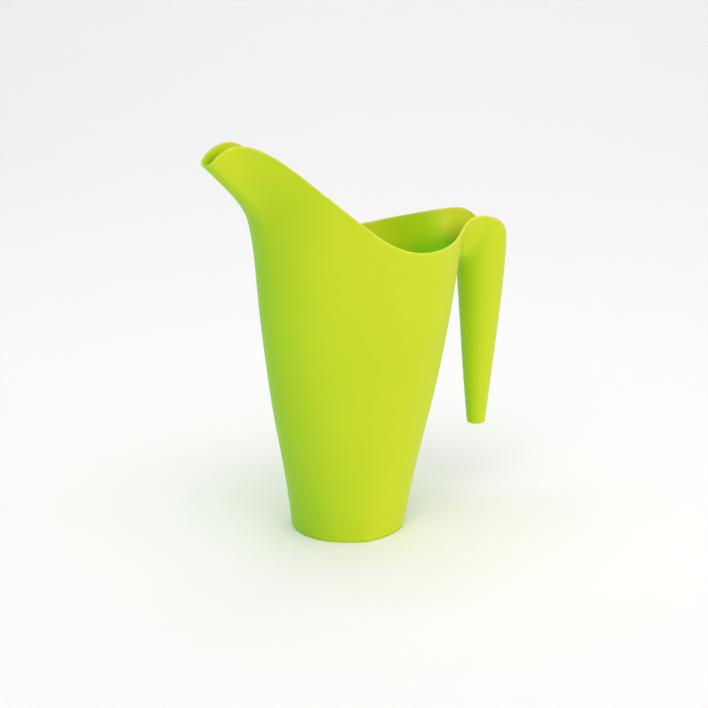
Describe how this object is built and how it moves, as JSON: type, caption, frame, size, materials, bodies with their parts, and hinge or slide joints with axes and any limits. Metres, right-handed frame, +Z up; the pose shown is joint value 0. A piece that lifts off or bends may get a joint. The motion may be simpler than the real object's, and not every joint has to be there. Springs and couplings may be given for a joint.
{
  "type": "watering can",
  "caption": "Tall one-piece moulded watering can: tapered oval vessel on a round foot, open beak spout, and a hollow tapered handle that hangs down from a bridge at the back of the rim.",
  "frame": {"origin": "on the plane the can stands on, in the mirror plane, under the middle of the overall length; the centre of the foot is 12 mm towards the spout from it", "axes": "+Z up along the height, -X towards the spout, +X towards the handle, Y across the width, mirror plane Y = 0"},
  "size_m": [0.2757, 0.1164, 0.3201],
  "materials": {
    "body_plastic": "satin moulded polypropylene, lime green"
  },
  "bodies": {
    "root": {"foot": "body_plastic", "vessel_wall_lower": "body_plastic", "vessel_wall_upper": "body_plastic", "spout": "body_plastic", "handle_bridge": "body_plastic", "handle_grip": "body_plastic"}
  },
  "joints": []
}
